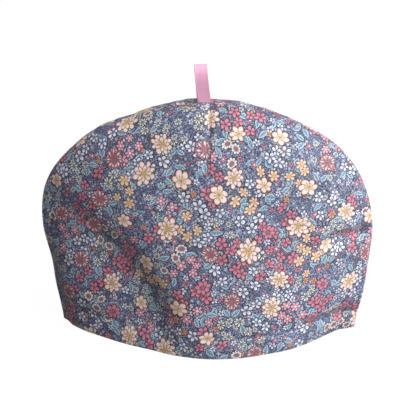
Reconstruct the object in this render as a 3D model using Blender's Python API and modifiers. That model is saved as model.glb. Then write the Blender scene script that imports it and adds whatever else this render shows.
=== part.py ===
"""Tea cosy: two D-shaped padded cotton panels sewn together round one arched seam and open
along the bottom, with a satin ribbon loop caught in the top of the seam. It stands on its hem.

Metres, +Z up. Seen from the front, +X is to the right, the front panel lies towards -Y and the
seam lies in the plane y = 0. The origin is on the surface that the hem stands on, under the
middle of the cosy.
"""

import bpy
import numpy as np

# Driving sizes of the cosy
HEIGHT = 0.2395
HEM_BOW = 0.0750
WALL = 0.0040
GAP = 0.0003

# The seam's outline: half width at the hem, how much wider the arch sweeps, how late it widens
SEAM_SIDES = {
    "left": {"hem_half": 0.1490, "flare": 0.1170, "rise": 1.45},
    "right": {"hem_half": 0.1525, "flare": 0.0980, "rise": 1.30},
}

# Where the sewn rim strays from that outline: how high, how far it reaches and how far it moves out
RIM_DENTS = (
    {"name": "flat left shoulder", "side": "left", "height": 0.198, "reach": 0.032, "out": -0.0065},
    {"name": "left waist at the buckle", "side": "left", "height": 0.070, "reach": 0.024, "out": -0.0030},
    {"name": "right shoulder", "side": "right", "height": 0.150, "reach": 0.040, "out": -0.0015},
    {"name": "right waist below the tuck", "side": "right", "height": 0.078, "reach": 0.026, "out": -0.0022},
)

# A panel closes on the seam as a flat lens at the hem and as a round shoulder at the top
HEM_ROUNDNESS = 1.0
TOP_ROUNDNESS = 0.5

# Folds of the front panel, seen from the front: x and z of a bent line, its half width to the left
# and right of the line as it runs, its depth inwards and its strength along it, and the share of
# it that the stitched hem lets through
FRONT_FOLDS = (
    {"name": "buckle", "start": (-0.168, 0.140), "bend": (-0.026, 0.090), "end": (-0.056, -0.010),
     "half_widths": (0.021, 0.045), "depth": 0.0130, "strength": (0.30, 1.10, 0.95), "at_hem": 0.3},
    {"name": "cheek at the left edge", "start": (-0.150, 0.098), "bend": (-0.140, 0.060),
     "end": (-0.132, -0.005), "half_widths": (0.030, 0.012), "depth": -0.0085, "strength": (0.2, 1.2, 0.5)},
    {"name": "tuck at the right edge", "start": (0.172, 0.112), "bend": (0.134, 0.1165),
     "end": (0.092, 0.103), "half_widths": (0.0090, 0.0070), "depth": 0.0065, "strength": (1.0, 1.1, 0.1)},
    {"name": "right end of the hem's stitching", "start": (0.152, 0.020), "bend": (0.125, 0.027),
     "end": (0.080, 0.022), "half_widths": (0.0080, 0.0070), "depth": 0.0055, "strength": (1.0, 1.0, 0.2)},
    {"name": "left end of the hem's stitching", "start": (-0.148, 0.024), "bend": (-0.120, 0.023),
     "end": (-0.080, 0.021), "half_widths": (0.0070, 0.0070), "depth": 0.0025, "strength": (1.0, 0.9, 0.2)},
    {"name": "hem drawn in at the right corner", "start": (0.146, 0.000), "bend": (0.132, 0.000),
     "end": (0.105, 0.006), "half_widths": (0.017, 0.017), "depth": 0.0050, "strength": (0.8, 1.2, 0.3)},
    {"name": "puff beside the top seam", "start": (-0.052, 0.231), "bend": (0.000, 0.243),
     "end": (0.052, 0.231), "half_widths": (0.013, 0.013), "depth": -0.0026, "strength": (0.3, 1.3, 0.3)},
)

# Folds of the back panel, which hangs more evenly
BACK_FOLDS = (
    {"name": "slack below the left shoulder", "start": (-0.165, 0.098), "bend": (-0.080, 0.090),
     "end": (-0.030, 0.040), "half_widths": (0.024, 0.024), "depth": 0.0035, "strength": (0.6, 1.0, 0.2)},
    {"name": "slack above the right hem", "start": (0.160, 0.060), "bend": (0.095, 0.062),
     "end": (0.050, 0.000), "half_widths": (0.022, 0.022), "depth": 0.0040, "strength": (0.4, 1.0, 0.8)},
    {"name": "puff beside the top seam", "start": (-0.058, 0.231), "bend": (0.000, 0.243),
     "end": (0.050, 0.231), "half_widths": (0.013, 0.013), "depth": -0.0026, "strength": (0.3, 1.3, 0.3)},
)

# Soft waves all over a panel, where the padding is uneven: height and waves along x and z
WAVES = (
    {"height": 0.0010, "along_x": 22.0, "along_z": 9.0, "phase": 0.6},
    {"height": 0.0008, "along_x": -13.0, "along_z": 27.0, "phase": 2.1},
)

# Grid of a panel: columns from side to side, rows from hem to arch, how far both crowd towards
# the seam, and how far the rows also crowd towards the hem
COLUMNS = 46
ROWS = 30
SEAM_CROWDING = 0.60
HEM_CROWDING = 0.50

# The seam holds the cloth near it, the hem keeps its height and damps the folds that reach it, and
# the grid runs a little past both, where the room for each panel trims it
SEAM_HOLD = 0.0120
HEM_HOLD = 0.0200
HEM_FADE = 0.0160
PAST_SEAM = 0.0008
PAST_HEM = 0.0010
ROOM_REACH = 0.3000

# Ribbon loop: a flat ribbon folded into a teardrop, its two ends caught between the panels
RIBBON_WIDTH = 0.0120
RIBBON_THICK = 0.0010
LOOP_HEIGHT = 0.0405
LOOP_BOW = 0.0085
LOOP_LEAN = 0.085
LOOP_X = -0.0025
TAIL = 0.0060
TAIL_SHARE = 0.1
TAIL_SPLIT = 0.0004
NOTCH_DEPTH = 0.0120
RIBBON_STEPS = 56

COTTON_COLOR = (0.245, 0.225, 0.270)
SATIN_COLOR = (0.740, 0.390, 0.540)


def bent_line(start, bend, end, steps=60):
    """Points along a quadratic curve from start to end that is drawn towards bend."""
    t = np.linspace(0.0, 1.0, steps)[:, None]
    start, bend, end = (np.array(point) for point in (start, bend, end))
    return (1 - t) ** 2 * start + 2 * t * (1 - t) * bend + t ** 2 * end


def fold_offset(x, z, folds):
    """Sum of soft troughs: each falls off as a bell with the distance from its bent line.

    The bell is wider on one side of the line than on the other where the fold leans over.
    """
    offset = np.zeros_like(x)
    rows = np.arange(len(x))
    for fold in folds:
        line = bent_line(fold["start"], fold["bend"], fold["end"])
        away_x = x[:, None] - line[:, 0]
        away_z = z[:, None] - line[:, 1]
        nearest = np.hypot(away_x, away_z).argmin(axis=1)
        away_x, away_z = away_x[rows, nearest], away_z[rows, nearest]
        heading = np.gradient(line, axis=0)[nearest]
        on_left = heading[:, 0] * away_z - heading[:, 1] * away_x > 0
        half_width = np.where(on_left, *fold["half_widths"])
        along = nearest / (len(line) - 1)
        first, middle, last = fold["strength"]
        strength = first * (1 - along) ** 2 + 2 * middle * along * (1 - along) + last * along ** 2
        strength *= 1 - (1 - fold.get("at_hem", 1.0)) * np.exp(-(z / HEM_FADE) ** 2)
        offset -= fold["depth"] * strength * np.exp(-(np.hypot(away_x, away_z) / half_width) ** 2)
    return offset


def wave_offset(x, z):
    """Sum of plane waves across the panel."""
    offset = np.zeros_like(x)
    for wave in WAVES:
        offset += wave["height"] * np.sin(wave["along_x"] * x + wave["along_z"] * z + wave["phase"])
    return offset


def panel_surface(u, v, front):
    """Outer face of a panel for u from -1 to 1 across and v from 0 at the hem to 1 at the arch.

    The square of u and v is bent onto a half disc, the half disc is stretched to the seam's
    outline, and the depth falls from the hem's bow to nothing at the rim of the disc.
    """
    v = (1 - HEM_CROWDING) * v + HEM_CROWDING * v ** 2 * (3 - 2 * v)
    u = (1 - SEAM_CROWDING) * u + SEAM_CROWDING * np.sin(0.5 * np.pi * u)
    v = (1 - SEAM_CROWDING) * v + SEAM_CROWDING * np.sin(0.5 * np.pi * v)
    disc_x = u * np.sqrt(1 - 0.5 * v ** 2)
    disc_z = v * np.sqrt(1 - 0.5 * u ** 2)

    widths = [side["hem_half"] + side["flare"] * disc_z ** side["rise"] for side in SEAM_SIDES.values()]
    rightness = 0.5 * (1 + disc_x)
    x = disc_x * (widths[0] * (1 - rightness) + widths[1] * rightness)
    z = HEIGHT * disc_z
    sideways = disc_x / np.sqrt(np.maximum(1 - disc_z ** 2, 0.01))
    for dent in RIM_DENTS:
        outward = -1.0 if dent["side"] == "left" else 1.0
        share = np.clip(outward * sideways, 0.0, 1.0) ** 2
        x = x + outward * dent["out"] * share * np.exp(-((z - dent["height"]) / dent["reach"]) ** 2)

    roundness = HEM_ROUNDNESS + (TOP_ROUNDNESS - HEM_ROUNDNESS) * disc_z
    inside = np.clip(1 - disc_x ** 2 - disc_z ** 2, 0.0, 1.0)
    depth = HEM_BOW * inside ** roundness
    toward_viewer = -1.0 if front else 1.0
    y = toward_viewer * (depth - PAST_SEAM)
    z = z - PAST_HEM * (1 - v) ** 4
    return np.stack([x, y, z], axis=1), depth


def new_material(name, color, roughness, sheen):
    """Cloth material: a Principled BSDF in one colour."""
    material = bpy.data.materials.new(name)
    material.use_nodes = True
    shader = material.node_tree.nodes["Principled BSDF"]
    shader.inputs["Base Color"].default_value = (*color, 1.0)
    shader.inputs["Roughness"].default_value = roughness
    shader.inputs["Metallic"].default_value = 0.0
    shader.inputs["Sheen Weight"].default_value = sheen
    return material


def take_active(name, collection):
    """Name the object that an operator just added and keep it in one collection only."""
    item = bpy.context.object
    item.name = name
    item.data.name = name
    for other in list(item.users_collection):
        other.objects.unlink(item)
    collection.objects.link(item)
    return item


def read_points(mesh):
    """The mesh's points as rows of x, y and z."""
    points = np.empty(3 * len(mesh.vertices), dtype=np.float32)
    mesh.vertices.foreach_get("co", points)
    return points.reshape(-1, 3).astype(float)


def write_points(mesh, points):
    """Put rows of x, y and z into the mesh's points."""
    mesh.vertices.foreach_set("co", points.astype(np.float32).ravel())
    mesh.update()


def make_block(name, collection, low, high):
    """Cutter block from its lowest to its highest corner."""
    low, high = np.array(low), np.array(high)
    bpy.ops.mesh.primitive_cube_add(size=1)
    block = take_active(name, collection)
    write_points(block.data, read_points(block.data) * (high - low) + 0.5 * (low + high))
    block.hide_render = True
    block.display_type = "WIRE"
    return block


def cut(item, name, cutter, operation):
    """Boolean modifier on a piece."""
    modifier = item.modifiers.new(name, "BOOLEAN")
    modifier.operation = operation
    modifier.solver = "EXACT"
    modifier.object = cutter


def make_panel(name, front, folds, material, pieces, cutters):
    """One padded panel: a bent grid given the wall's thickness, trimmed at the hem and the seam."""
    bpy.ops.mesh.primitive_grid_add(x_subdivisions=COLUMNS, y_subdivisions=ROWS, size=2)
    panel = take_active(name, pieces)
    grid = read_points(panel.data)
    points, depth = panel_surface(grid[:, 0], 0.5 * (grid[:, 1] + 1), front)
    write_points(panel.data, points)
    if not front:
        panel.data.flip_normals()

    # The relief fades where the seam holds the cloth
    free = np.clip(depth / SEAM_HOLD, 0.0, 1.0)
    normals = np.empty(3 * len(points), dtype=np.float32)
    panel.data.vertex_normals.foreach_get("vector", normals)
    normals = normals.reshape(-1, 3)
    relief = free * (fold_offset(points[:, 0], points[:, 2], folds) + wave_offset(points[:, 0], points[:, 2]))
    normals[:, 2] *= np.clip(points[:, 2] / HEM_HOLD, 0.0, 1.0)
    write_points(panel.data, points + normals * relief[:, None])

    wall = panel.modifiers.new("wall", "SOLIDIFY")
    wall.thickness = WALL
    wall.offset = -1.0
    wall.use_even_offset = True
    wall.use_quality_normals = True

    # Room for one panel: its own side of the seam, above the surface
    far = ROOM_REACH
    low = (-far, -far if front else 0.5 * GAP, 0.0)
    high = (far, -0.5 * GAP if front else far, far)
    room = make_block(name + "_room", cutters, low, high)

    # Notch in the top of the seam for the ribbon's ends
    clear = GAP + RIBBON_THICK + 0.5 * TAIL_SPLIT
    half = 0.5 * RIBBON_WIDTH + GAP + LOOP_LEAN * TAIL
    low = (LOOP_X - half, -clear, HEIGHT - NOTCH_DEPTH)
    high = (LOOP_X + half, clear, HEIGHT + NOTCH_DEPTH)
    cut(room, "notch", make_block(name + "_notch", cutters, low, high), "DIFFERENCE")
    cut(panel, "room", room, "INTERSECT")

    panel.data.materials.append(material)
    panel.data.shade_smooth()
    return panel


def make_loop(name, material, pieces):
    """Ribbon along a teardrop: up the front leg, round the fold and down the back leg."""
    bpy.ops.mesh.primitive_grid_add(x_subdivisions=2, y_subdivisions=RIBBON_STEPS, size=2)
    loop = take_active(name, pieces)
    grid = read_points(loop.data)
    across = grid[:, 0]
    along = grid[:, 1]

    # The last share of each half is the straight tail in the seam
    turn = np.pi * (1 + np.clip(along / (1 - TAIL_SHARE), -1, 1))
    down_tail = TAIL * np.clip((np.abs(along) - (1 - TAIL_SHARE)) / TAIL_SHARE, 0, 1)
    leg_offset = 0.5 * (RIBBON_THICK + TAIL_SPLIT) * np.cos(0.5 * turn)
    y = -leg_offset - LOOP_BOW * np.sin(turn) * np.sin(0.5 * turn) ** 2
    z = LOOP_HEIGHT * 0.5 * (1 - np.cos(turn)) - down_tail
    x = LOOP_X + 0.5 * RIBBON_WIDTH * across - LOOP_LEAN * z
    write_points(loop.data, np.stack([x, y, HEIGHT + z], axis=1))

    thick = loop.modifiers.new("ribbon", "SOLIDIFY")
    thick.thickness = RIBBON_THICK
    thick.offset = 0.0
    thick.use_even_offset = True
    loop.data.materials.append(material)
    loop.data.shade_smooth()
    return loop


def new_collection(name):
    """Collection in the scene for pieces that belong together."""
    collection = bpy.data.collections.new(name)
    bpy.context.scene.collection.children.link(collection)
    return collection


for item in list(bpy.data.objects):
    bpy.data.objects.remove(item, do_unlink=True)

cosy_pieces = new_collection("tea_cosy")
cosy_cutters = new_collection("cutters")
cotton = new_material("printed_cotton", COTTON_COLOR, roughness=0.85, sheen=0.2)
satin = new_material("ribbon_satin", SATIN_COLOR, roughness=0.38, sheen=0.0)

make_panel("panel_front", True, FRONT_FOLDS, cotton, cosy_pieces, cosy_cutters)
make_panel("panel_back", False, BACK_FOLDS, cotton, cosy_pieces, cosy_cutters)
make_loop("hanging_loop", satin, cosy_pieces)
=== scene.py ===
"""Looks of the tea cosy: two padded cotton panels with a small flower print, and a ribbon loop.

Metres, +Z up. Seen from the front, +X is to the right and the front panel lies towards -Y.
"""

import math

import bpy
import numpy as np
from mathutils import Matrix, Vector


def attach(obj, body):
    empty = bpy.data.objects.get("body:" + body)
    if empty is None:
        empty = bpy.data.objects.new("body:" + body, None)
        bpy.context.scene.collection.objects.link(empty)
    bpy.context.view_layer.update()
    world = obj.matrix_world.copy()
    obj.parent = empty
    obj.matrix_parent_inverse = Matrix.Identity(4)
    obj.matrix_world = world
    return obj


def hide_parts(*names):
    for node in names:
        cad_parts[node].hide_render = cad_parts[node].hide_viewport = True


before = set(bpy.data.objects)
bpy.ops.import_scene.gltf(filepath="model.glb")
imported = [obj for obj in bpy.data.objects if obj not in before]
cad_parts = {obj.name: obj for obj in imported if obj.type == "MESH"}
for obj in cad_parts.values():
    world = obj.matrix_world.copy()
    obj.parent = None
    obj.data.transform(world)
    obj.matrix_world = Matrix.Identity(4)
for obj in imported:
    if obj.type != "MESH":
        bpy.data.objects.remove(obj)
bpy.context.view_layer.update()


# Camera and studio. A long lens looks down on the front of the cosy from a little to its right.
# The cosy stands on a plain white table. A big soft light on the right gives its shape, and a
# weaker one overhead lifts its top.
CAMERA_TURN = math.radians(3.7)
CAMERA_RISE = math.radians(25.0)
CAMERA_DISTANCE = 1.6
VIEW_WIDTH = 0.416
SENSOR = 36.0
VIEW_CENTRE = Vector((0.0, 0.0, 0.110))
VIEW_RIGHT = 0.0015
VIEW_UP = 0.0175

TABLE_HALF = 40.0
TABLE_DROP = 0.0003
TABLE_COLOR = (0.03, 0.03, 0.03, 1.0)
TABLE_GLOW = 0.97
TABLE_GLOW_COLOR = (1.0, 1.0, 1.0, 1.0)
AIR_COLOR = (1.0, 0.97, 1.05, 1.0)
AIR_STRENGTH = 0.17

# Soft lights: turn from the front towards the right and height in degrees, spread, strength, colour
LIGHTS = (
    {"name": "key", "turn": 66, "rise": 26, "spread": 84, "strength": 5.3, "color": (0.95, 1.0, 1.05)},
    {"name": "overhead", "turn": 40, "rise": 76, "spread": 60, "strength": 1.2, "color": (0.97, 1.0, 1.03)},
)


def direction(turn, rise):
    """Unit vector that points turn to the right of the front and rise above the table."""
    return Vector((
        math.sin(turn) * math.cos(rise),
        -math.cos(turn) * math.cos(rise),
        math.sin(rise),
    ))


def look_at(item, place, target):
    """Put a camera or light at a place, with its view along the line to the target."""
    item.matrix_world = Matrix.Translation(place) @ (target - place).to_track_quat("-Z", "Y").to_matrix().to_4x4()
    bpy.context.scene.collection.objects.link(item)


camera = bpy.data.objects.new("camera", bpy.data.cameras.new("camera"))
toward_camera = direction(CAMERA_TURN, CAMERA_RISE)
across_view = Vector((math.cos(CAMERA_TURN), math.sin(CAMERA_TURN), 0.0))
aim = VIEW_CENTRE + VIEW_RIGHT * across_view + VIEW_UP * toward_camera.cross(across_view)
look_at(camera, aim + CAMERA_DISTANCE * toward_camera, aim)
camera.data.sensor_width = SENSOR
camera.data.lens = SENSOR * CAMERA_DISTANCE / VIEW_WIDTH
bpy.context.scene.camera = camera

for row in LIGHTS:
    lamp = bpy.data.lights.new(row["name"], "SUN")
    lamp.angle = math.radians(row["spread"])
    lamp.energy = row["strength"]
    lamp.color = row["color"]
    light = bpy.data.objects.new(row["name"], lamp)
    toward_light = direction(math.radians(row["turn"]), math.radians(row["rise"]))
    look_at(light, VIEW_CENTRE + toward_light, VIEW_CENTRE)

world = bpy.data.worlds.new("studio air")
world.use_nodes = True
world.node_tree.nodes["Background"].inputs["Color"].default_value = AIR_COLOR
world.node_tree.nodes["Background"].inputs["Strength"].default_value = AIR_STRENGTH
bpy.context.scene.world = world
bpy.context.scene.view_settings.view_transform = "Standard"


def new_material(name):
    """Material with a Principled shader, and the shader."""
    material = bpy.data.materials.new(name)
    material.use_nodes = True
    return material, material.node_tree.nodes["Principled BSDF"]


def new_piece(name, points, faces, material):
    """Smooth mesh from rows of points and rows of point numbers."""
    mesh = bpy.data.meshes.new(name)
    mesh.from_pydata(points.tolist(), [], faces.tolist())
    mesh.materials.append(material)
    mesh.shade_smooth()
    piece = bpy.data.objects.new(name, mesh)
    bpy.context.scene.collection.objects.link(piece)
    return piece


table_white, shader = new_material("table_white")
shader.inputs["Base Color"].default_value = TABLE_COLOR
shader.inputs["Roughness"].default_value = 0.9
shader.inputs["Specular IOR Level"].default_value = 0.1
shader.inputs["Emission Color"].default_value = TABLE_GLOW_COLOR
shader.inputs["Emission Strength"].default_value = TABLE_GLOW
corners = TABLE_HALF * np.array([[-1, -1, 0], [1, -1, 0], [1, 1, 0], [-1, 1, 0]]) - [0, 0, TABLE_DROP]
table = new_piece("table", corners, np.array([[0, 1, 2, 3]]), table_white)
table.visible_diffuse = False
table.visible_glossy = False
table.visible_shadow = False


# Front and back panels. Each is one D-shaped piece of cotton with soft padding behind it, sewn
# to the other along the arch. The hem is turned up and stitched, and a small dart at the top
# takes in the fullness of the front under the loop.
HEIGHT = 0.2395
HEM_BOW = 0.0750
WALL = 0.0040
SEAM_LEFT = {"hem_half": 0.1490, "flare": 0.1170, "rise": 1.45}
SEAM_RIGHT = {"hem_half": 0.1525, "flare": 0.0980, "rise": 1.30}
HEM_ROUNDNESS = 1.0
TOP_ROUNDNESS = 0.5

# How much the inner face is narrower at each side, in thicknesses of the wall
INNER_SIDE = 1.25

# Where the sewn rim strays from that outline: side, height, reach up and down, and way out
RIM_DENTS = (
    {"name": "flat left shoulder", "side": -1, "height": 0.198, "reach": 0.032, "out": -0.0065},
    {"name": "left waist at the buckle", "side": -1, "height": 0.070, "reach": 0.024, "out": -0.0030},
    {"name": "right shoulder", "side": 1, "height": 0.150, "reach": 0.040, "out": -0.0015},
    {"name": "right waist below the tuck", "side": 1, "height": 0.078, "reach": 0.026, "out": -0.0022},
)

# Folds: a bent line in x and z, its half width to the left and right of the line as it runs, its
# depth inwards and its strength along it, and the share of it that the stitched hem lets through
FRONT_FOLDS = (
    {"name": "buckle", "start": (-0.168, 0.140), "bend": (-0.026, 0.090), "end": (-0.056, -0.010),
     "half_widths": (0.021, 0.045), "depth": 0.0130, "strength": (0.30, 1.10, 0.95), "at_hem": 0.3},
    {"name": "cheek at the left edge", "start": (-0.150, 0.098), "bend": (-0.140, 0.060),
     "end": (-0.132, -0.005), "half_widths": (0.030, 0.012), "depth": -0.0085, "strength": (0.2, 1.2, 0.5)},
    {"name": "tuck at the right edge", "start": (0.172, 0.112), "bend": (0.134, 0.1165),
     "end": (0.092, 0.103), "half_widths": (0.0085, 0.0060), "depth": 0.0065, "strength": (1.0, 1.1, 0.1)},
    {"name": "right end of the hem's stitching", "start": (0.152, 0.020), "bend": (0.125, 0.027),
     "end": (0.080, 0.022), "half_widths": (0.0075, 0.0065), "depth": 0.0060, "strength": (1.0, 1.0, 0.2)},
    {"name": "left end of the hem's stitching", "start": (-0.148, 0.024), "bend": (-0.120, 0.023),
     "end": (-0.080, 0.021), "half_widths": (0.0070, 0.0070), "depth": 0.0025, "strength": (1.0, 0.9, 0.2)},
    {"name": "hem drawn in at the right corner", "start": (0.146, 0.000), "bend": (0.132, 0.000),
     "end": (0.105, 0.006), "half_widths": (0.017, 0.017), "depth": 0.0050, "strength": (0.8, 1.2, 0.3)},
    {"name": "puff beside the top seam", "start": (-0.052, 0.231), "bend": (0.000, 0.243),
     "end": (0.052, 0.231), "half_widths": (0.013, 0.013), "depth": -0.0026, "strength": (0.3, 1.3, 0.3)},
    {"name": "dart below the loop", "start": (0.0045, 0.241), "bend": (0.004, 0.205),
     "end": (0.001, 0.172), "half_widths": (0.0030, 0.0030), "depth": 0.0020, "strength": (1.1, 1.0, 0.0)},
)
BACK_FOLDS = (
    {"name": "slack below the left shoulder", "start": (-0.165, 0.098), "bend": (-0.080, 0.090),
     "end": (-0.030, 0.040), "half_widths": (0.024, 0.024), "depth": 0.0035, "strength": (0.6, 1.0, 0.2)},
    {"name": "slack above the right hem", "start": (0.160, 0.060), "bend": (0.095, 0.062),
     "end": (0.050, 0.000), "half_widths": (0.022, 0.022), "depth": 0.0040, "strength": (0.4, 1.0, 0.8)},
    {"name": "puff beside the top seam", "start": (-0.058, 0.231), "bend": (0.000, 0.243),
     "end": (0.050, 0.231), "half_widths": (0.013, 0.013), "depth": -0.0026, "strength": (0.3, 1.3, 0.3)},
)

# Soft waves where the padding is uneven: height, waves a metre along x and z, and phase
WAVES = (
    {"height": 0.0010, "along_x": 22.0, "along_z": 9.0, "phase": 0.6},
    {"height": 0.0008, "along_x": -13.0, "along_z": 27.0, "phase": 2.1},
    {"height": 0.0004, "along_x": 74.0, "along_z": 38.0, "phase": 0.9},
    {"height": 0.0004, "along_x": -46.0, "along_z": 81.0, "phase": 3.7},
    {"height": 0.00022, "along_x": 151.0, "along_z": -97.0, "phase": 1.3},
    {"height": 0.00022, "along_x": 88.0, "along_z": 171.0, "phase": 5.2},
)

# Where the top of the arch is higher or lower than half of a round: place across, reach and rise
TOP_LIFTS = (
    {"name": "high right of the loop", "x": 0.018, "reach": 0.045, "up": 0.0032},
    {"name": "low left shoulder", "x": -0.078, "reach": 0.030, "up": -0.0034},
)

# Depths and heights over which seam and hem hold the cloth, and the rounding of their edges
SEAM_HOLD = 0.0120
HEM_HOLD = 0.0200
HEM_FADE = 0.0160
SEAM_ROUND = 0.0020
HEM_ROUND = 0.0015

# The hem's stitching: how high it runs, how deep and wide its groove is, and its small puckers
STITCH_HEIGHT = 0.0210
STITCH_DEPTH = 0.0006
STITCH_HALF = 0.0017
PUCKER_HEIGHT = 0.00012
PUCKER_REACH = 0.0045
PUCKER_WAVES = 880.0

# Puckers of the arched seam: height, waves round the half circle, and reach into the panel
GATHER_HEIGHT = 0.00022
GATHER_WAVES = 47
GATHER_REACH = 0.016
GATHER_RISE = 0.0050

# The dart: where it runs, and how far it makes the print jump at the top of the arch
DART_TOP = 0.0030
DART_X = 0.0040
DART_END = 0.172
DART_JUMP = 0.0005

# The back is cut from the same cloth, this far along it
BACK_CLOTH = 0.41
REVERSE_EDGE = 0.0015
SHARP_ANGLE = math.radians(50)

# The mesh: columns and rows up to the band that closes on the seam, with more rows at the hem's
# edge and its stitching, and the depths of the band's rows
COLUMNS = 190
HEM_ROWS = (0.0, 0.0007, 0.0016, 0.0030, 0.0050, 0.0075)
STITCH_ROWS = np.linspace(0.066, 0.138, 27)
UPPER_ROWS = np.linspace(0.145, 1.0, 98)
ROWS = np.concatenate([HEM_ROWS, np.linspace(0.013, 0.060, 8), STITCH_ROWS, UPPER_ROWS])
BAND_DEPTHS = 0.001 * np.array([8.0, 6.6, 5.4, 4.3, 3.3, 2.5, 1.9, 1.4, 1.0, 0.7, 0.45, 0.28, 0.15])


def outline(disc_x, disc_z, wall):
    """Place and depth of a face, for points of a half disc that is stretched to the seam.

    The half width grows from the hem up by flare times the height to the power rise, and goes
    over from the left side's to the right side's. The depth falls from the hem's bow at the
    middle of the disc to nothing at its rim, as one minus the square of the radius, to a power
    that goes from a flat lens at the hem to a round shoulder at the top. The wall makes all
    three sizes smaller for the inner face.
    """
    halves = [side["hem_half"] + side["flare"] * disc_z ** side["rise"] for side in (SEAM_LEFT, SEAM_RIGHT)]
    rightness = 0.5 * (1 + disc_x)
    half = halves[0] * (1 - rightness) + halves[1] * rightness - INNER_SIDE * wall
    x = disc_x * half
    z = (HEIGHT - wall) * disc_z
    sideways = disc_x / np.sqrt(np.maximum(1 - disc_z ** 2, 0.01))
    for dent in RIM_DENTS:
        share = np.clip(dent["side"] * sideways, 0.0, 1.0) ** 2
        x = x + dent["side"] * dent["out"] * share * np.exp(-((z - dent["height"]) / dent["reach"]) ** 2)
    for lift in TOP_LIFTS:
        z = z + lift["up"] * disc_z ** 6 * np.exp(-((x - lift["x"]) / lift["reach"]) ** 2)
    roundness = HEM_ROUNDNESS + (TOP_ROUNDNESS - HEM_ROUNDNESS) * disc_z
    inside = np.clip(1 - disc_x ** 2 - disc_z ** 2, 0.0, 1.0)
    depth = (HEM_BOW - wall) * inside ** roundness
    return np.stack([x, -depth, z], axis=-1), depth


def disc_radius(angle, depth, wall):
    """Radius on the half disc at which a face has the given depth, by a few repeats."""
    radius = np.ones_like(angle)
    for _ in range(20):
        roundness = HEM_ROUNDNESS + (TOP_ROUNDNESS - HEM_ROUNDNESS) * radius * np.sin(angle)
        radius = np.sqrt(1 - (depth / (HEM_BOW - wall)) ** (1 / roundness))
    return radius


def outward(disc_x, disc_z, wall, step=0.004):
    """Normals of a face, from the differences to two points nearer the middle of the disc."""
    here = outline(disc_x, disc_z, wall)[0]
    aside = np.where(disc_x > 0, -step, step)
    aloft = np.where(disc_z > step, -step, step)
    rightward = (outline(disc_x + aside, disc_z, wall)[0] - here) * np.sign(aside)[:, None]
    upward = (outline(disc_x, disc_z + aloft, wall)[0] - here) * np.sign(aloft)[:, None]
    normal = np.cross(rightward, upward)
    return normal / np.linalg.norm(normal, axis=1)[:, None]


def bent_line(start, bend, end, steps=120):
    """Points along a quadratic curve from start to end that is drawn towards bend."""
    t = np.linspace(0.0, 1.0, steps)[:, None]
    start, bend, end = (np.array(point) for point in (start, bend, end))
    return (1 - t) ** 2 * start + 2 * t * (1 - t) * bend + t ** 2 * end


def fold_offset(x, z, folds):
    """Sum of soft troughs: each falls off as a bell with the distance from its bent line.

    The bell is wider on one side of the line than on the other where the fold leans over.
    """
    offset = np.zeros_like(x)
    for fold in folds:
        line = bent_line(fold["start"], fold["bend"], fold["end"])
        away_x = x[:, None] - line[:, 0]
        away_z = z[:, None] - line[:, 1]
        nearest = np.hypot(away_x, away_z).argmin(axis=1)
        rows = np.arange(len(x))
        away_x, away_z = away_x[rows, nearest], away_z[rows, nearest]
        heading = np.gradient(line, axis=0)[nearest]
        on_left = heading[:, 0] * away_z - heading[:, 1] * away_x > 0
        half_width = np.where(on_left, *fold["half_widths"])
        along = nearest / (len(line) - 1)
        first, middle, last = fold["strength"]
        strength = first * (1 - along) ** 2 + 2 * middle * along * (1 - along) + last * along ** 2
        strength *= 1 - (1 - fold.get("at_hem", 1.0)) * np.exp(-(z / HEM_FADE) ** 2)
        offset -= fold["depth"] * strength * np.exp(-(np.hypot(away_x, away_z) / half_width) ** 2)
    return offset


def wave_offset(x, z):
    """Sum of plane waves across the panel."""
    offset = np.zeros_like(x)
    for wave in WAVES:
        offset += wave["height"] * np.sin(wave["along_x"] * x + wave["along_z"] * z + wave["phase"])
    return offset


def stitch_offset(x, z):
    """Groove of the hem's stitching, with small puckers above and below it that alternate."""
    away = z - STITCH_HEIGHT
    groove = -STITCH_DEPTH * np.exp(-(away / STITCH_HALF) ** 2)
    waver = np.sin(PUCKER_WAVES * x + 3 * np.sin(70 * x) + np.sign(away))
    return groove + PUCKER_HEIGHT * waver * np.exp(-((np.abs(away) - PUCKER_REACH) / PUCKER_REACH) ** 2)


def gather_offset(disc_x, disc_z, depth):
    """Puckers that start at the arched seam and run straight into the panel."""
    angle = np.arctan2(disc_z, disc_x)
    from_seam = HEIGHT * (1 - np.hypot(disc_x, disc_z))
    waver = np.sin(GATHER_WAVES * angle + 2.2 * np.sin(9 * angle + 1)) + 0.6 * np.sin(2.7 * GATHER_WAVES * angle)
    reach = np.exp(-from_seam / GATHER_REACH) * np.clip(depth / GATHER_RISE, 0, 1)
    return GATHER_HEIGHT * waver * reach


def quarter_round(height, radius):
    """How far a rounded edge draws in at a height under its radius."""
    rest = np.clip(radius - height, 0.0, radius)
    return radius - np.sqrt(radius ** 2 - rest ** 2)


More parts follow.
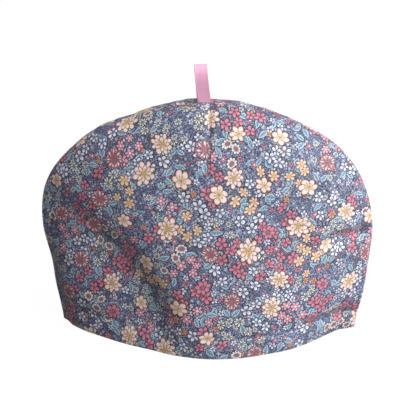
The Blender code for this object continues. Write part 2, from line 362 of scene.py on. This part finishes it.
def panel_face(disc_x, disc_z, folds, wall):
    """Points of one face with its relief, its rounded seam edge and its rounded hem edge."""
    points, depth = outline(disc_x, disc_z, wall)
    normal = outward(disc_x, disc_z, wall)
    x, z = points[:, 0], points[:, 2]
    relief = np.clip(depth / SEAM_HOLD, 0.0, 1.0) * (fold_offset(x, z, folds) + wave_offset(x, z))
    if wall == 0:
        relief += np.clip(depth / SEAM_HOLD, 0.0, 1.0) * stitch_offset(x, z)
        relief += gather_offset(disc_x, disc_z, depth)
    normal[:, 2] *= np.clip(z / HEM_HOLD, 0.0, 1.0)
    moved = points + normal * relief[:, None]

    # The seam draws the cloth in, in the plane of the seam
    rim = np.stack([disc_x / SEAM_LEFT["hem_half"], np.zeros_like(disc_x), disc_z / HEIGHT], axis=1)
    rim /= np.maximum(np.linalg.norm(rim, axis=1), 1e-6)[:, None]
    moved -= rim * quarter_round(depth, SEAM_ROUND)[:, None]

    # The hem's edge is rounded too, inwards on the outer face and outwards on the inner one
    flat = normal * [1, 1, 0]
    flat /= np.maximum(np.linalg.norm(flat, axis=1), 1e-6)[:, None]
    fold_in = quarter_round(z, HEM_ROUND) * np.clip(depth / SEAM_HOLD, 0.0, 1.0)
    moved -= flat * (fold_in if wall == 0 else -0.6 * fold_in)[:, None]
    return moved


def flat_place(disc_x, disc_z, steps=32):
    """Place on the flat cloth: the length over the surface from the middle line and the hem."""
    share = np.sin(0.5 * np.pi * np.linspace(0.0, 1.0, steps))[:, None]
    over = outline(share * disc_x, np.broadcast_to(disc_z, (steps, len(disc_z))), 0.0)[0]
    up = outline(np.broadcast_to(disc_x, (steps, len(disc_x))), share * disc_z, 0.0)[0]
    across = np.linalg.norm(np.diff(over, axis=0), axis=2).sum(axis=0) * np.sign(disc_x)
    upward = np.linalg.norm(np.diff(up, axis=0), axis=2).sum(axis=0)
    return across, upward


def quads(index):
    """Faces between neighbours in an array of point numbers."""
    return np.stack([index[:-1, :-1], index[:-1, 1:], index[1:, 1:], index[1:, :-1]], axis=-1).reshape(-1, 4)


def half_disc(wall):
    """Points of a half disc as a grid, with a band of narrow rows from its rim to the seam.

    The grid is a square bent onto the disc: each side is shortened by the root of one minus
    half the square of the other. Gives the points and the numbers of the grid and the band.
    """
    u, v = np.meshgrid(np.linspace(-1, 1, COLUMNS + 1), ROWS)
    disc_x = u * np.sqrt(1 - 0.5 * v ** 2)
    disc_z = v * np.sqrt(1 - 0.5 * u ** 2)
    angle = np.arctan2(disc_z, disc_x)
    shrink = disc_radius(angle, BAND_DEPTHS[0], wall)
    grid = np.arange(u.size).reshape(u.shape)
    rim = np.concatenate([grid[:, 0], grid[-1, 1:], grid[-2::-1, -1]])
    rim_angle = angle.ravel()[rim]
    radius = np.stack([disc_radius(rim_angle, depth, wall) for depth in BAND_DEPTHS[1:]])
    band = np.vstack([rim, grid.size + np.arange(radius.size).reshape(radius.shape)])
    x = np.concatenate([(disc_x * shrink).ravel(), (radius * np.cos(rim_angle)).ravel()])
    z = np.concatenate([(disc_z * shrink).ravel(), (radius * np.sin(rim_angle)).ravel()])
    return x, z, grid, band


def map_cloth(piece, name, places):
    """Lay the flat cloth on a piece: a map of the places, in metres, of its points."""
    corner_points = np.empty(len(piece.data.loops), dtype=np.int32)
    piece.data.loops.foreach_get("vertex_index", corner_points)
    layer = piece.data.uv_layers.new(name=name)
    layer.data.foreach_set("uv", places[corner_points].astype(np.float32).ravel())


def make_panel(name, front, folds, material):
    """Closed panel: outer face, inner face, and strips between them at the seam and the hem."""
    x, z, grid, band = half_disc(0.0)
    outer = panel_face(x, z, folds, 0.0)
    across, upward = flat_place(x, z)
    inner_x, inner_z, _, _ = half_disc(WALL)
    inner = panel_face(inner_x, inner_z, folds, WALL)
    points = np.concatenate([outer, inner])
    seam = np.stack([band[-1], band[-1] + len(outer)])
    hem = np.concatenate([band[::-1, 0], grid[0, 1:-1], band[:, -1]])
    hem = np.stack([hem + len(outer), hem])
    faces = np.concatenate([
        quads(grid),
        quads(band),
        quads(grid[:, ::-1] + len(outer)),
        quads(band[:, ::-1] + len(outer)),
        quads(seam),
        quads(hem),
    ])

    # The dart takes cloth in on both sides, so the print jumps across it
    if front:
        jump = DART_TOP * np.clip((outer[:, 2] - DART_END) / (HEIGHT - DART_END), 0, 1)
        across = across + jump * np.tanh((outer[:, 0] - DART_X) / DART_JUMP)
    else:
        points[:, 1] *= -1
        faces = faces[:, ::-1]
        across = BACK_CLOTH - across
    panel = new_piece(name, points, faces, material)
    panel.data.set_sharp_from_angle(angle=SHARP_ANGLE)
    map_cloth(panel, "cloth", np.tile(np.stack([across, upward], axis=1), (2, 1)))

    # The inner face shows the plain back of the cloth above the turned-up hem
    reverse = np.zeros(len(points), dtype=np.float32)
    reverse[len(outer):] = np.clip((inner[:, 2] - STITCH_HEIGHT) / REVERSE_EDGE, 0, 1)
    panel.data.attributes.new("reverse", "FLOAT", "POINT").data.foreach_set("value", reverse)
    return panel


class Value:
    """A socket's value in a material. Arithmetic on it adds Math nodes."""

    def __init__(self, tree, socket=None):
        self.tree = tree
        self.socket = socket

    def node(self, kind, settings, sockets, stops=()):
        """Add a node: its settings and stops first, then its sockets. Gives its outputs by name.

        Stops are the places and colours of a ramp, which goes from one to the next in a step.
        """
        node = self.tree.nodes.new(kind)
        for name, setting in settings.items():
            setattr(node, name, setting)
        if stops:
            elements = node.color_ramp.elements
            elements.remove(elements[1])
            elements[0].position = 0.0
            elements[0].color = stops[0][1]
            for position, color in stops[1:]:
                elements.new(position).color = color
            node.color_ramp.interpolation = "CONSTANT"
        live = [socket for socket in node.inputs if socket.enabled]
        for name, value in sockets.items():
            socket = live[name] if isinstance(name, int) else next(s for s in live if s.name == name)
            if isinstance(value, Value):
                self.tree.links.new(value.socket, socket)
            else:
                socket.default_value = value
        return {socket.name: Value(self.tree, socket) for socket in node.outputs if socket.enabled}

    def math(self, operation, *values, clamp=False):
        """Math on the values, which are sockets' values or numbers."""
        settings = {"operation": operation, "use_clamp": clamp}
        return self.node("ShaderNodeMath", settings, dict(enumerate(values)))["Value"]

    def __add__(self, other):
        return self.math("ADD", self, other)

    def __sub__(self, other):
        return self.math("SUBTRACT", self, other)

    def __rsub__(self, other):
        return self.math("SUBTRACT", other, self)

    def __mul__(self, other):
        return self.math("MULTIPLY", self, other)

    def __truediv__(self, other):
        return self.math("DIVIDE", self, other)

    def __abs__(self):
        return self.math("ABSOLUTE", self)

    __radd__ = __add__
    __rmul__ = __mul__

    def over(self, edge, blur):
        """1 where the value is over the edge and 0 below it, with a step as wide as the blur."""
        return self.math("MULTIPLY_ADD", self, 1 / blur, 0.5 - edge / blur, clamp=True)

    def mix(self, under, over):
        """Colour that goes from under to over as this value goes from 0 to 1."""
        return self.node("ShaderNodeMix", {"data_type": "RGBA"}, {"Factor": self, "A": under, "B": over})["Result"]

    def vector(self, operation, *values):
        """Vector Math on this vector and the values."""
        settings = {"operation": operation}
        outputs = self.node("ShaderNodeVectorMath", settings, dict(enumerate((self, *values))))
        return next(iter(outputs.values()))


# How much of the light a white ink gives back; inks are picked as screen values in full light
LIGHT_SHARE = 0.80


def ink(red, green, blue):
    """Colour of an ink, from the screen values that it has in full light."""
    channels = np.array([red, green, blue]) / 255
    linear = np.where(channels <= 0.04045, channels / 12.92, ((channels + 0.055) / 1.055) ** 2.4)
    return (*(LIGHT_SHARE * linear).tolist(), 1.0)


GROUND_INK = ink(84, 96, 130)
GROUND_VIOLET_INK = ink(88, 86, 118)
SPRAY_INK = ink(134, 150, 184)
LILAC_INK = ink(204, 208, 232)
DEEP_INK = ink(20, 20, 32)
ROSE_INK = ink(220, 130, 150)
ROSE_LIGHT_INK = ink(236, 168, 184)
ROSE_DARK_INK = ink(108, 44, 66)
DUSTY_INK = ink(190, 108, 124)
BLUSH_INK = ink(253, 222, 214)
PEACH_INK = ink(248, 206, 180)
ORANGE_INK = ink(236, 156, 122)
GOLD_INK = ink(232, 194, 104)
OLIVE_INK = ink(164, 122, 62)
WHITE_INK = ink(236, 234, 250)
CREAM_INK = ink(240, 234, 220)
GREY_INK = ink(104, 104, 120)
MAUVE_INK = ink(158, 92, 116)
AQUA_INK = ink(146, 180, 200)
AQUA_LIGHT_INK = ink(208, 236, 246)
AQUA_DARK_INK = ink(76, 98, 122)

# Kinds of flower, by size: the share of the places, the ink of its lines, and its rows of petals
# from the outside in. A row has its number of petals (0 for a plain round heart), its radius in
# mm, how deep the gaps between its petals are, their length as a share of the radius, and its ink
LARGE_FLOWERS = (
    (0.34, OLIVE_INK, (
        (6, 9.4, 0.8, 1.35, BLUSH_INK),
        (9, 4.4, 2.6, 1.1, GOLD_INK),
        (0, 1.2, 0.0, 2.0, WHITE_INK),
    )),
    (0.20, OLIVE_INK, (
        (8, 12.4, 1.2, 1.0, BLUSH_INK),
        (8, 8.8, 1.5, 1.1, BLUSH_INK),
        (11, 5.4, 2.6, 1.2, GOLD_INK),
    )),
    (0.24, ROSE_DARK_INK, (
        (11, 10.6, 1.1, 0.7, DUSTY_INK),
        (15, 9.0, 1.6, 0.9, CREAM_INK),
        (7, 7.2, 1.2, 1.3, DUSTY_INK),
    )),
    (0.22, ROSE_DARK_INK, (
        (7, 8.4, 0.8, 1.35, ROSE_INK),
        (9, 3.4, 1.6, 1.0, ROSE_DARK_INK),
        (0, 1.4, 0.0, 2.0, CREAM_INK),
    )),
)
MIDDLE_FLOWERS = (
    (0.23, ROSE_DARK_INK, ((5, 6.2, 1.3, 1.15, ROSE_INK), (0, 1.0, 0.0, 2.0, ROSE_DARK_INK))),
    (0.10, ROSE_DARK_INK, ((6, 5.6, 1.3, 1.10, ROSE_LIGHT_INK), (0, 1.3, 0.0, 2.0, CREAM_INK))),
    (0.14, DEEP_INK, ((5, 6.0, 1.5, 1.05, WHITE_INK), (0, 1.2, 0.0, 2.0, GREY_INK))),
    (0.09, DEEP_INK, ((8, 5.2, 2.0, 1.00, CREAM_INK), (0, 1.2, 0.0, 2.0, GREY_INK))),
    (0.05, OLIVE_INK, ((6, 5.8, 1.3, 1.10, PEACH_INK), (0, 1.3, 0.0, 2.0, GOLD_INK))),
    (0.06, DEEP_INK, ((9, 5.8, 0.9, 0.80, CREAM_INK), (0, 2.8, 0.0, 2.0, MAUVE_INK))),
    (0.33, DEEP_INK, ((0, 0.01, 0.0, 2.0, GROUND_INK), (0, 0.01, 0.0, 2.0, GROUND_INK))),
)
SMALL_FLOWERS = (
    (0.14, ROSE_DARK_INK, ((4, 2.6, 0.8, 1.50, ROSE_INK), (0, 0.5, 0.0, 2.0, ROSE_DARK_INK))),
    (0.18, DEEP_INK, ((8, 3.9, 1.8, 1.00, CREAM_INK), (0, 0.9, 0.0, 2.0, GREY_INK))),
    (0.06, ROSE_DARK_INK, ((6, 3.9, 1.3, 1.10, ORANGE_INK), (0, 1.0, 0.0, 2.0, OLIVE_INK))),
    (0.22, DEEP_INK, ((5, 3.8, 1.4, 1.10, WHITE_INK), (0, 0.8, 0.0, 2.0, GREY_INK))),
    (0.08, ROSE_DARK_INK, ((8, 3.8, 1.8, 1.10, ROSE_INK), (0, 0.9, 0.0, 2.0, CREAM_INK))),
    (0.32, DEEP_INK, ((0, 0.01, 0.0, 2.0, GROUND_INK), (0, 0.01, 0.0, 2.0, GROUND_INK))),
)
TINY_FLOWERS = (
    (0.26, DEEP_INK, ((5, 1.9, 1.4, 1.30, LILAC_INK),)),
    (0.16, DEEP_INK, ((4, 1.5, 1.2, 1.50, WHITE_INK),)),
    (0.06, DEEP_INK, ((0, 1.2, 0.0, 2.00, ROSE_INK),)),
    (0.52, DEEP_INK, ((0, 0.01, 0.0, 2.0, GROUND_INK),)),
)


def scatter(place, cell, turn, shift, looseness):
    """Places of one layer of motifs, one in each cell of a loose grid, each turned its own way.

    Gives the way from the nearest motif's middle along its own two axes, in mm, three random
    lots for that motif, and its place in cells.
    """
    turned = place.node("ShaderNodeMapping", {"vector_type": "POINT"}, {
        "Vector": place, "Location": (*shift, 0.0), "Rotation": (0.0, 0.0, turn), "Scale": (1 / cell,) * 3})["Vector"]
    cells = place.node("ShaderNodeTexVoronoi", {"voronoi_dimensions": "2D"}, {
        "Vector": turned, "Scale": 1.0, "Randomness": looseness})
    lots = place.node("ShaderNodeSeparateColor", {}, {"Color": cells["Color"]})
    way = turned.vector("SUBTRACT", cells["Position"]).vector("MULTIPLY", (cell, cell, 0.0))
    way = place.node("ShaderNodeVectorRotate", {"rotation_type": "Z_AXIS"}, {
        "Vector": way, "Angle": lots["Blue"] * (2 * math.pi)})["Vector"]
    return way, lots, cells["Position"]


def pick(lot, kinds, colors):
    """Column of the kinds' table, as a ramp that the lot picks from by the kinds' shares."""
    starts = np.cumsum([0.0] + [kind[0] for kind in kinds[:-1]])
    return lot.node("ShaderNodeValToRGB", {}, {"Fac": lot}, stops=list(zip(starts.tolist(), colors)))


# A ramp holds values up to 1, so the numbers of petals, the gaps and the steepness, which is two
# over the length, are kept in it as shares of these
MOST_PETALS = 32.0
MOST_GAP = 4.0
MOST_STEEPNESS = 4.0

FORESHORTENED = (1.0, 1.14, 0.0)
LINE_BLUR = 0.24


def flowers(cloth, place, kinds, cell, turn, shift, looseness, cluster=0.0, halo=0.55):
    """Layer of flowers over the cloth's colour, from the outer row of petals to the heart.

    Along a petal, u goes from -1 at its base to 1 at its tip. The petal is where u squared, plus
    its gap times one minus the absolute cosine of half the petals times the angle, is under 1.
    """
    way, lots, spot = scatter(place, cell, turn, shift, looseness)
    lot = lots["Red"]
    if cluster:
        groups = place.node("ShaderNodeTexVoronoi", {"voronoi_dimensions": "2D"}, {
            "Vector": spot, "Scale": 1 / cluster})
        lot = place.node("ShaderNodeSeparateColor", {}, {"Color": groups["Color"]})["Red"]
    way = way.vector("MULTIPLY", FORESHORTENED)
    radius = way.vector("LENGTH") / (lots["Green"] * 0.28 + 0.84)
    way = place.node("ShaderNodeSeparateXYZ", {}, {"Vector": way})
    angle = place.math("ARCTAN2", way["Y"], way["X"]) * (0.5 * MOST_PETALS)
    line_ink = pick(lot, kinds, [kind[1] for kind in kinds])["Color"]

    last = len(kinds[0][2]) - 1
    for number in range(last + 1):
        rows = [kind[2][number] for kind in kinds]
        shape = pick(lot, kinds, [
            (min(1 / size, 1.0), petals / MOST_PETALS, gap / MOST_GAP, 2 / length / MOST_STEEPNESS)
            for petals, size, gap, length, _ in rows])
        parts = place.node("ShaderNodeSeparateColor", {}, {"Color": shape["Color"]})
        petal_ink = pick(lot, kinds, [row[4] for row in rows])["Color"]
        u = place.math("MULTIPLY_ADD", radius * parts["Red"] * MOST_STEEPNESS - MOST_STEEPNESS, shape["Alpha"], 1.0)
        lobe = abs(place.math("SINE" if number % 2 else "COSINE", angle * parts["Green"]))
        lobe = place.math("MULTIPLY_ADD", lobe, -MOST_GAP, MOST_GAP)
        outside = place.math("MULTIPLY_ADD", lobe, parts["Blue"], u * u)
        lines = outside.over(0.80, LINE_BLUR)
        if number < last or last == 0:
            cloth = outside.over(1 + halo, -0.3).mix(cloth, DEEP_INK)
        if number < last:
            streak = lobe.over(0.07, -0.08) * u.over(0.1, -0.6)
            petal_ink = u.over(-0.6, -1.2).mix(petal_ink, line_ink)
            lines = place.math("MAXIMUM", place.math("MAXIMUM", lines, streak), lobe.over(3.2, 0.5))
        elif last == 2:
            ruffle = place.math("SINE", radius * 2.9 + lobe * 1.6)
            lines = place.math("MAXIMUM", lines, ruffle.over(0.2, 0.5))
        petal = lines.mix(petal_ink, line_ink)
        cloth = outside.over(1.0, -LINE_BLUR).mix(cloth, petal)
    return cloth


# How far the two leaves of a pair part from their stalk, as an angle
LEAF_FORK = 0.85


def leaves(cloth, place, cell, turn, shift, looseness, length, half_width, paired):
    """Layer of leaves over the cloth's colour, some in pairs that part from one stalk.

    A leaf's half width at a distance along it is the greatest half width times one minus the
    square of the distance from the leaf's middle over half its length, and less towards the tip.
    """
    way, lots, _ = scatter(place, cell, turn, shift, looseness)
    way = place.node("ShaderNodeSeparateXYZ", {}, {"Vector": way})
    fork = abs(way["Y"])
    down = way["X"] * math.cos(LEAF_FORK) + fork * math.sin(LEAF_FORK)
    across = abs(fork * math.cos(LEAF_FORK) - way["X"] * math.sin(LEAF_FORK))
    middle = down * (2 / length) - 1.3
    inside = (1 - middle * middle) * (half_width - 0.35 * half_width * middle) - across
    shown = place.math("MAXIMUM", way["Y"].over(0.0, 0.1), lots["Red"].over(paired, -0.01))
    cloth = (inside.over(-0.5, 0.3) * shown).mix(cloth, DEEP_INK)
    ribs = abs(place.math("SINE", (down - across) * (math.pi / 2.4))).over(0.45, -0.4)
    ribs = place.math("MAXIMUM", ribs, across.over(0.30, -0.25))
    paint = ribs.mix(AQUA_INK, AQUA_DARK_INK)
    paint = inside.over(0.62, -0.4).mix(paint, AQUA_LIGHT_INK)
    return (inside.over(0.0, 0.3) * shown).mix(cloth, paint)


def strokes(cloth, place, cell, turn, shift, length, width, color):
    """Layer of short pen strokes, each an ellipse, over the cloth's colour."""
    way = scatter(place, cell, turn, shift, 0.9)[0].vector("MULTIPLY", (2 / length, 2 / width, 0.0))
    return way.vector("DOT_PRODUCT", way).over(1.0, -0.9).mix(cloth, color)


IN_MILLIMETRES = (1000.0, 1000.0, 0.0)

# The weave's pitch in mm, the heights of weave and crumples in metres, and the cloth's reverse
THREAD_PITCH = 0.36
WEAVE_HEIGHT = 0.00004
CRUMPLE_HEIGHT = 0.0009
PRINT_THROUGH = 0.16
REVERSE_COLOR = ink(236, 230, 222)
NOISE_VALUE = "Fac"

cotton, shader = new_material("printed_cotton")
tree = cotton.node_tree
place = Value(tree).node("ShaderNodeUVMap", {"uv_map": "cloth"}, {})["UV"]
place = place.vector("MULTIPLY", IN_MILLIMETRES)
threads = place

# The drawing is a little uneven, as if by hand
sway = place.node("ShaderNodeTexNoise", {"noise_dimensions": "2D"}, {"Vector": place, "Scale": 0.11, "Detail": 0.0})
place = place.vector("ADD", sway["Color"].vector("MULTIPLY", (2.6, 2.6, 0.0)))

# Ground with its dots, curls and pen strokes
patches = place.node("ShaderNodeTexNoise", {"noise_dimensions": "2D"}, {"Vector": place, "Scale": 0.045, "Detail": 1.0})
patches = patches[NOISE_VALUE]
color = patches.over(0.5, 0.3).mix(GROUND_INK, GROUND_VIOLET_INK)
color = strokes(color, place, 3.2, 0.2, (0.3, 0.5), 2.4, 0.7, DEEP_INK)
color = strokes(color, place, 4.2, 1.0, (0.6, 0.1), 3.6, 0.8, SPRAY_INK)
dots = place.node("ShaderNodeTexVoronoi", {"voronoi_dimensions": "2D"}, {"Vector": place, "Scale": 1 / 1.5})
color = dots["Distance"].over(0.60, 0.2).mix(color, DEEP_INK)
color = (dots["Distance"] + patches * 0.4).over(0.38, -0.2).mix(color, LILAC_INK)

# Flowers and leaves, from the smallest up
color = flowers(color, place, TINY_FLOWERS, 4.6, 0.9, (0.2, 0.6), 0.8)
color = flowers(color, place, SMALL_FLOWERS, 10.0, 0.2, (0.5, 0.9), 0.8)
color = leaves(color, place, 27.0, 0.4, (0.1, 0.2), 0.8, 9.5, 2.4, 0.6)
color = leaves(color, place, 34.0, 1.0, (0.4, 0.8), 0.8, 11.0, 2.8, 0.5)
color = flowers(color, place, MIDDLE_FLOWERS, 13.5, 0.65, (0.8, 0.3), 0.6, cluster=1.7)
color = flowers(color, place, LARGE_FLOWERS, 40.0, 0.35, (0.15, 0.45), 0.6, halo=0.25)

# The print shows only faintly on the reverse of the cloth
reverse = place.node("ShaderNodeAttribute", {"attribute_name": "reverse"}, {})["Fac"]
showing_through = color.node("ShaderNodeMix", {"data_type": "RGBA"}, {
    "Factor": PRINT_THROUGH, "A": REVERSE_COLOR, "B": color})["Result"]
color = reverse.mix(color, showing_through)
tree.links.new(color.socket, shader.inputs["Base Color"])

# Plain weave, and the soft crumples of cloth that has been folded and packed
thread = place.node("ShaderNodeSeparateXYZ", {}, {"Vector": threads})
warp = place.math("SINE", thread["X"] * (math.pi / THREAD_PITCH))
weave = warp * place.math("SINE", thread["Y"] * (math.pi / THREAD_PITCH))
crumple = place.node("ShaderNodeTexNoise", {"noise_dimensions": "2D"}, {"Vector": threads, "Scale": 0.085, "Detail": 1.5})
height = weave * WEAVE_HEIGHT + crumple[NOISE_VALUE] * CRUMPLE_HEIGHT
bump = place.node("ShaderNodeBump", {}, {"Strength": 1.0, "Distance": 1.0, "Height": height})
tree.links.new(bump["Normal"].socket, shader.inputs["Normal"])
shader.inputs["Roughness"].default_value = 0.62
shader.inputs["Specular IOR Level"].default_value = 0.8
shader.inputs["Sheen Weight"].default_value = 0.1

for name, front, folds, node in (
    ("front_panel_cotton", True, FRONT_FOLDS, "panel_front"),
    ("back_panel_cotton", False, BACK_FOLDS, "panel_back"),
):
    panel = make_panel(name, front, folds, cotton)
    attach(panel, "root")
    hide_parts(node)


# Hanging loop. One length of satin ribbon, folded in half without a crease so that it stands
# as a narrow teardrop, with both ends caught in the top of the arched seam.
# Its sizes, its lean to the left, the gap between its legs at the seam, how far its back leg
# hangs to the left and over which share of the leg, and its ends in the seam
RIBBON_WIDTH = 0.0120
RIBBON_THICK = 0.0006
LOOP_HEIGHT = 0.0407
LOOP_BOW = 0.0085
LOOP_LEAN = 0.098
LOOP_X = -0.0012
LEG_SPLIT = 0.0014
BACK_LEG_SHIFT = 0.0017
FOLD_TILT = 0.0005
BACK_LEG_RUN = 0.35
TAIL = 0.0055
TAIL_SHARE = 0.1
ALONG_STEPS = 110
ACROSS_STEPS = 12
EDGE_BULGE = 0.00012


def ribbon_middle(along, across):
    """Middle of the ribbon: up the front leg, round the fold and down the back leg.

    It is a teardrop whose height goes as one minus the cosine of the turn and whose width goes
    as its sine times the square of the half turn's sine. The back leg hangs a little to the left.
    """
    turn = np.pi * (1 + np.clip(along / (1 - TAIL_SHARE), -1, 1))
    down_tail = TAIL * np.clip((np.abs(along) - (1 - TAIL_SHARE)) / TAIL_SHARE, 0, 1)
    y = -0.5 * LEG_SPLIT * np.cos(0.5 * turn) - LOOP_BOW * np.sin(turn) * np.sin(0.5 * turn) ** 2
    z = (LOOP_HEIGHT + FOLD_TILT * across) * 0.5 * (1 - np.cos(turn)) - down_tail
    shift = -BACK_LEG_SHIFT * np.sin(0.5 * np.pi * np.clip(along / BACK_LEG_RUN, 0, 1))
    x = LOOP_X + 0.5 * RIBBON_WIDTH * across - LOOP_LEAN * z + shift
    return np.stack([x, y, HEIGHT + z], axis=-1)


def make_ribbon(name, material):
    """Closed strip: both faces of the ribbon, joined round their edges."""
    lengths = np.linspace(-1, 1, ALONG_STEPS + 1)
    widths = np.linspace(-1, 1, ACROSS_STEPS + 1)
    along, across = np.meshgrid(lengths, widths, indexing="ij")
    middle = ribbon_middle(along, across)
    lengthways = np.gradient(middle, axis=0)
    crossways = np.gradient(middle, axis=1)
    normal = np.cross(lengthways, crossways)
    normal /= np.linalg.norm(normal, axis=2)[:, :, None]
    half = (0.5 * RIBBON_THICK + EDGE_BULGE * np.abs(across) ** 12)[:, :, None]
    step = np.linalg.norm(np.diff(middle[:, ACROSS_STEPS // 2], axis=0), axis=1)
    run = np.concatenate([[0], np.cumsum(step)])
    points = np.concatenate([(middle + half * normal).reshape(-1, 3), (middle - half * normal).reshape(-1, 3)])
    top = np.arange(along.size).reshape(along.shape)
    bottom = top + top.size
    faces = np.concatenate([
        quads(top),
        quads(bottom[:, ::-1]),
        quads(np.stack([bottom[:, 0], top[:, 0]], axis=1)),
        quads(np.stack([top[:, -1], bottom[:, -1]], axis=1)),
        quads(np.stack([bottom[0], top[0]])),
        quads(np.stack([top[-1], bottom[-1]])),
    ])
    ribbon = new_piece(name, points, faces, material)
    ribbon.data.set_sharp_from_angle(angle=SHARP_ANGLE)
    length = np.broadcast_to(run[:, None], along.shape).ravel()
    map_cloth(ribbon, "ribbon", np.tile(np.stack([0.5 * RIBBON_WIDTH * across.ravel(), length], axis=1), (2, 1)))
    return ribbon


# Colours, the selvedge's lighter one being a painted highlight along the ribbon's edges, then in mm:
# where the selvedge starts and the pitches of floats and ribs. Then the heights of floats, ribs and yarn in metres
SATIN_COLOR = (0.880, 0.420, 0.570, 1.0)
SELVEDGE_HIGHLIGHT_COLOR = (0.930, 0.520, 0.660, 1.0)
SELVEDGE = 5.35
FLOAT_PITCH = 0.16
RIB_PITCH = 0.45
FLOAT_HEIGHT = 0.000004
RIB_HEIGHT = 0.00003
YARN_HEIGHT = 0.00006

satin, shader = new_material("ribbon_satin")
tree = satin.node_tree
place = Value(tree).node("ShaderNodeUVMap", {"uv_map": "ribbon"}, {})["UV"]
place = place.vector("MULTIPLY", IN_MILLIMETRES)
strip = place.node("ShaderNodeSeparateXYZ", {}, {"Vector": place})

# Fine floats run along the satin, and the woven edges have short ribs across them
edge = abs(strip["X"]).over(SELVEDGE, 0.2)
yarn = place.node("ShaderNodeTexNoise", {"noise_dimensions": "2D"}, {
    "Vector": place.vector("MULTIPLY", (3.0, 0.15, 0.0)), "Scale": 1.0, "Detail": 1.0})[NOISE_VALUE]
# Towards both woven edges the colour goes lighter: a painted highlight along the selvedge, over the yarn's own uneven
# tone
color = (yarn * 0.30 - 0.05 + edge * 0.6).mix(SATIN_COLOR, SELVEDGE_HIGHLIGHT_COLOR)
tree.links.new(color.socket, shader.inputs["Base Color"])
floats = place.math("SINE", strip["X"] * (2 * math.pi / FLOAT_PITCH)) * FLOAT_HEIGHT
ribs = place.math("SINE", strip["Y"] * (2 * math.pi / RIB_PITCH)) * edge * RIB_HEIGHT
height = floats + ribs + yarn * YARN_HEIGHT
bump = place.node("ShaderNodeBump", {}, {"Strength": 1.0, "Distance": 1.0, "Height": height})
tree.links.new(bump["Normal"].socket, shader.inputs["Normal"])
roughness = yarn * 0.16 + 0.38
tree.links.new(roughness.socket, shader.inputs["Roughness"])

ribbon = make_ribbon("hanging_loop_satin", satin)
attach(ribbon, "root")
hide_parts("hanging_loop")
